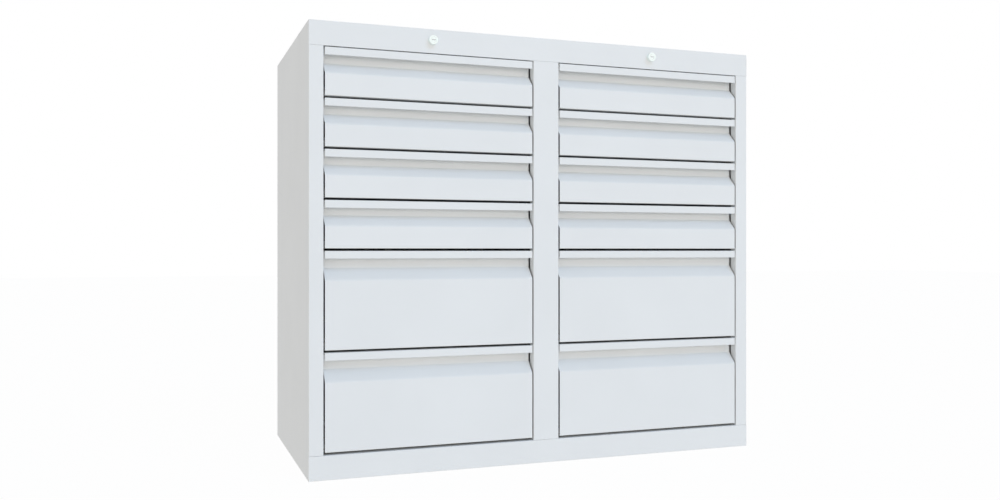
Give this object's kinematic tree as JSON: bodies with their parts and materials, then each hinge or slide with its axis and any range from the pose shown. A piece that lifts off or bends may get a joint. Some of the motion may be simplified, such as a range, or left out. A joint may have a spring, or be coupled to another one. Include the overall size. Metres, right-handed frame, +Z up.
{
  "type": "drawer cabinet",
  "caption": "Free-standing steel cabinet with columns of shallow and deep drawers on full-extension rails, folded grips along the fronts, and a central lock for each column.",
  "frame": {"origin": "on the floor, under the middle of the carcass", "axes": "+X to the right seen from the front, -Y to the front where the drawers pull out, +Z up"},
  "size_m": [1, 0.509, 0.9],
  "materials": {
    "carcass_paint": "light grey powder coat, fine texture, satin",
    "drawer_paint": "light grey powder coat, fine texture, satin",
    "rail_zinc": "zinc-plated rolled steel",
    "lock_chrome": "bright plated",
    "lock_steel": "zinc-plated steel"
  },
  "bodies": {
    "carcass": {"left_side_panel": "carcass_paint", "right_side_panel": "carcass_paint", "top_panel": "carcass_paint", "base_panel": "carcass_paint", "back_panel": "carcass_paint", "centre_stile": "carcass_paint", "centre_partition": "carcass_paint", "rail_posts": "rail_zinc", "left_cabinet_rails": "rail_zinc", "right_cabinet_rails": "rail_zinc", "lock_housings": "lock_chrome", "lock_nuts": "lock_steel", "lock_rod_brackets": "lock_steel", "lock_bar_guides": "lock_steel"},
    "left_drawer_1": {"left_drawer_1_front": "drawer_paint", "left_drawer_1_box": "drawer_paint"},
    "left_drawer_1_middle": {"left_drawer_1_middle_rails": "rail_zinc"},
    "left_drawer_2": {"left_drawer_2_front": "drawer_paint", "left_drawer_2_box": "drawer_paint"},
    "left_drawer_2_middle": {"left_drawer_2_middle_rails": "rail_zinc"},
    "left_drawer_3": {"left_drawer_3_front": "drawer_paint", "left_drawer_3_box": "drawer_paint"},
    "left_drawer_3_middle": {"left_drawer_3_middle_rails": "rail_zinc"},
    "left_drawer_4": {"left_drawer_4_front": "drawer_paint", "left_drawer_4_box": "drawer_paint"},
    "left_drawer_4_middle": {"left_drawer_4_middle_rails": "rail_zinc"},
    "left_drawer_5": {"left_drawer_5_front": "drawer_paint", "left_drawer_5_box": "drawer_paint"},
    "left_drawer_5_middle": {"left_drawer_5_middle_rails": "rail_zinc"},
    "left_drawer_6": {"left_drawer_6_front": "drawer_paint", "left_drawer_6_box": "drawer_paint"},
    "left_drawer_6_middle": {"left_drawer_6_middle_rails": "rail_zinc"},
    "left_lock": {"left_lock_barrel": "lock_chrome", "left_lock_rod": "lock_steel", "left_lock_crank": "lock_steel"},
    "left_lock_bar": {"left_lock_bar": "lock_steel"},
    "right_drawer_1": {"right_drawer_1_front": "drawer_paint", "right_drawer_1_box": "drawer_paint"},
    "right_drawer_1_middle": {"right_drawer_1_middle_rails": "rail_zinc"},
    "right_drawer_2": {"right_drawer_2_front": "drawer_paint", "right_drawer_2_box": "drawer_paint"},
    "right_drawer_2_middle": {"right_drawer_2_middle_rails": "rail_zinc"},
    "right_drawer_3": {"right_drawer_3_front": "drawer_paint", "right_drawer_3_box": "drawer_paint"},
    "right_drawer_3_middle": {"right_drawer_3_middle_rails": "rail_zinc"},
    "right_drawer_4": {"right_drawer_4_front": "drawer_paint", "right_drawer_4_box": "drawer_paint"},
    "right_drawer_4_middle": {"right_drawer_4_middle_rails": "rail_zinc"},
    "right_drawer_5": {"right_drawer_5_front": "drawer_paint", "right_drawer_5_box": "drawer_paint"},
    "right_drawer_5_middle": {"right_drawer_5_middle_rails": "rail_zinc"},
    "right_drawer_6": {"right_drawer_6_front": "drawer_paint", "right_drawer_6_box": "drawer_paint"},
    "right_drawer_6_middle": {"right_drawer_6_middle_rails": "rail_zinc"},
    "right_lock": {"right_lock_barrel": "lock_chrome", "right_lock_rod": "lock_steel", "right_lock_crank": "lock_steel"},
    "right_lock_bar": {"right_lock_bar": "lock_steel"}
  },
  "joints": [
    {"name": "left_drawer_1_slide", "type": "slide", "parent": "carcass", "child": "left_drawer_1", "axis": [0, -1, 0], "range_m": [0, 0.42]},
    {"name": "left_drawer_1_middle_slide", "type": "slide", "parent": "carcass", "child": "left_drawer_1_middle", "axis": [0, -1, 0], "range_m": [0, 0.21]},
    {"name": "left_drawer_2_slide", "type": "slide", "parent": "carcass", "child": "left_drawer_2", "axis": [0, -1, 0], "range_m": [0, 0.42]},
    {"name": "left_drawer_2_middle_slide", "type": "slide", "parent": "carcass", "child": "left_drawer_2_middle", "axis": [0, -1, 0], "range_m": [0, 0.21]},
    {"name": "left_drawer_3_slide", "type": "slide", "parent": "carcass", "child": "left_drawer_3", "axis": [0, -1, 0], "range_m": [0, 0.42]},
    {"name": "left_drawer_3_middle_slide", "type": "slide", "parent": "carcass", "child": "left_drawer_3_middle", "axis": [0, -1, 0], "range_m": [0, 0.21]},
    {"name": "left_drawer_4_slide", "type": "slide", "parent": "carcass", "child": "left_drawer_4", "axis": [0, -1, 0], "range_m": [0, 0.42]},
    {"name": "left_drawer_4_middle_slide", "type": "slide", "parent": "carcass", "child": "left_drawer_4_middle", "axis": [0, -1, 0], "range_m": [0, 0.21]},
    {"name": "left_drawer_5_slide", "type": "slide", "parent": "carcass", "child": "left_drawer_5", "axis": [0, -1, 0], "range_m": [0, 0.42]},
    {"name": "left_drawer_5_middle_slide", "type": "slide", "parent": "carcass", "child": "left_drawer_5_middle", "axis": [0, -1, 0], "range_m": [0, 0.21]},
    {"name": "left_drawer_6_slide", "type": "slide", "parent": "carcass", "child": "left_drawer_6", "axis": [0, -1, 0], "range_m": [0, 0.42]},
    {"name": "left_drawer_6_middle_slide", "type": "slide", "parent": "carcass", "child": "left_drawer_6_middle", "axis": [0, -1, 0], "range_m": [0, 0.21]},
    {"name": "left_lock_turn", "type": "hinge", "parent": "carcass", "child": "left_lock", "pos_m": [-0.25, -0.25, 0.877], "axis": [0, 1, 0], "range_deg": [0, 90]},
    {"name": "left_lock_bar_lift", "type": "slide", "parent": "carcass", "child": "left_lock_bar", "axis": [0, 0, 1], "range_m": [0, 0.01131]},
    {"name": "right_drawer_1_slide", "type": "slide", "parent": "carcass", "child": "right_drawer_1", "axis": [0, -1, 0], "range_m": [0, 0.42]},
    {"name": "right_drawer_1_middle_slide", "type": "slide", "parent": "carcass", "child": "right_drawer_1_middle", "axis": [0, -1, 0], "range_m": [0, 0.21]},
    {"name": "right_drawer_2_slide", "type": "slide", "parent": "carcass", "child": "right_drawer_2", "axis": [0, -1, 0], "range_m": [0, 0.42]},
    {"name": "right_drawer_2_middle_slide", "type": "slide", "parent": "carcass", "child": "right_drawer_2_middle", "axis": [0, -1, 0], "range_m": [0, 0.21]},
    {"name": "right_drawer_3_slide", "type": "slide", "parent": "carcass", "child": "right_drawer_3", "axis": [0, -1, 0], "range_m": [0, 0.42]},
    {"name": "right_drawer_3_middle_slide", "type": "slide", "parent": "carcass", "child": "right_drawer_3_middle", "axis": [0, -1, 0], "range_m": [0, 0.21]},
    {"name": "right_drawer_4_slide", "type": "slide", "parent": "carcass", "child": "right_drawer_4", "axis": [0, -1, 0], "range_m": [0, 0.42]},
    {"name": "right_drawer_4_middle_slide", "type": "slide", "parent": "carcass", "child": "right_drawer_4_middle", "axis": [0, -1, 0], "range_m": [0, 0.21]},
    {"name": "right_drawer_5_slide", "type": "slide", "parent": "carcass", "child": "right_drawer_5", "axis": [0, -1, 0], "range_m": [0, 0.42]},
    {"name": "right_drawer_5_middle_slide", "type": "slide", "parent": "carcass", "child": "right_drawer_5_middle", "axis": [0, -1, 0], "range_m": [0, 0.21]},
    {"name": "right_drawer_6_slide", "type": "slide", "parent": "carcass", "child": "right_drawer_6", "axis": [0, -1, 0], "range_m": [0, 0.42]},
    {"name": "right_drawer_6_middle_slide", "type": "slide", "parent": "carcass", "child": "right_drawer_6_middle", "axis": [0, -1, 0], "range_m": [0, 0.21]},
    {"name": "right_lock_turn", "type": "hinge", "parent": "carcass", "child": "right_lock", "pos_m": [0.25, -0.25, 0.877], "axis": [0, 1, 0], "range_deg": [0, 90]},
    {"name": "right_lock_bar_lift", "type": "slide", "parent": "carcass", "child": "right_lock_bar", "axis": [0, 0, 1], "range_m": [0, 0.01131]}
  ],
  "couplings": [
    {"joint": "left_drawer_1_middle_slide", "follows": "left_drawer_1_slide", "ratio": 0.5},
    {"joint": "left_drawer_2_middle_slide", "follows": "left_drawer_2_slide", "ratio": 0.5},
    {"joint": "left_drawer_3_middle_slide", "follows": "left_drawer_3_slide", "ratio": 0.5},
    {"joint": "left_drawer_4_middle_slide", "follows": "left_drawer_4_slide", "ratio": 0.5},
    {"joint": "left_drawer_5_middle_slide", "follows": "left_drawer_5_slide", "ratio": 0.5},
    {"joint": "left_drawer_6_middle_slide", "follows": "left_drawer_6_slide", "ratio": 0.5},
    {"joint": "left_lock_turn", "follows": "left_lock_bar_lift", "rad_per_m": 138.84},
    {"joint": "right_drawer_1_middle_slide", "follows": "right_drawer_1_slide", "ratio": 0.5},
    {"joint": "right_drawer_2_middle_slide", "follows": "right_drawer_2_slide", "ratio": 0.5},
    {"joint": "right_drawer_3_middle_slide", "follows": "right_drawer_3_slide", "ratio": 0.5},
    {"joint": "right_drawer_4_middle_slide", "follows": "right_drawer_4_slide", "ratio": 0.5},
    {"joint": "right_drawer_5_middle_slide", "follows": "right_drawer_5_slide", "ratio": 0.5},
    {"joint": "right_drawer_6_middle_slide", "follows": "right_drawer_6_slide", "ratio": 0.5},
    {"joint": "right_lock_turn", "follows": "right_lock_bar_lift", "rad_per_m": 138.84}
  ]
}
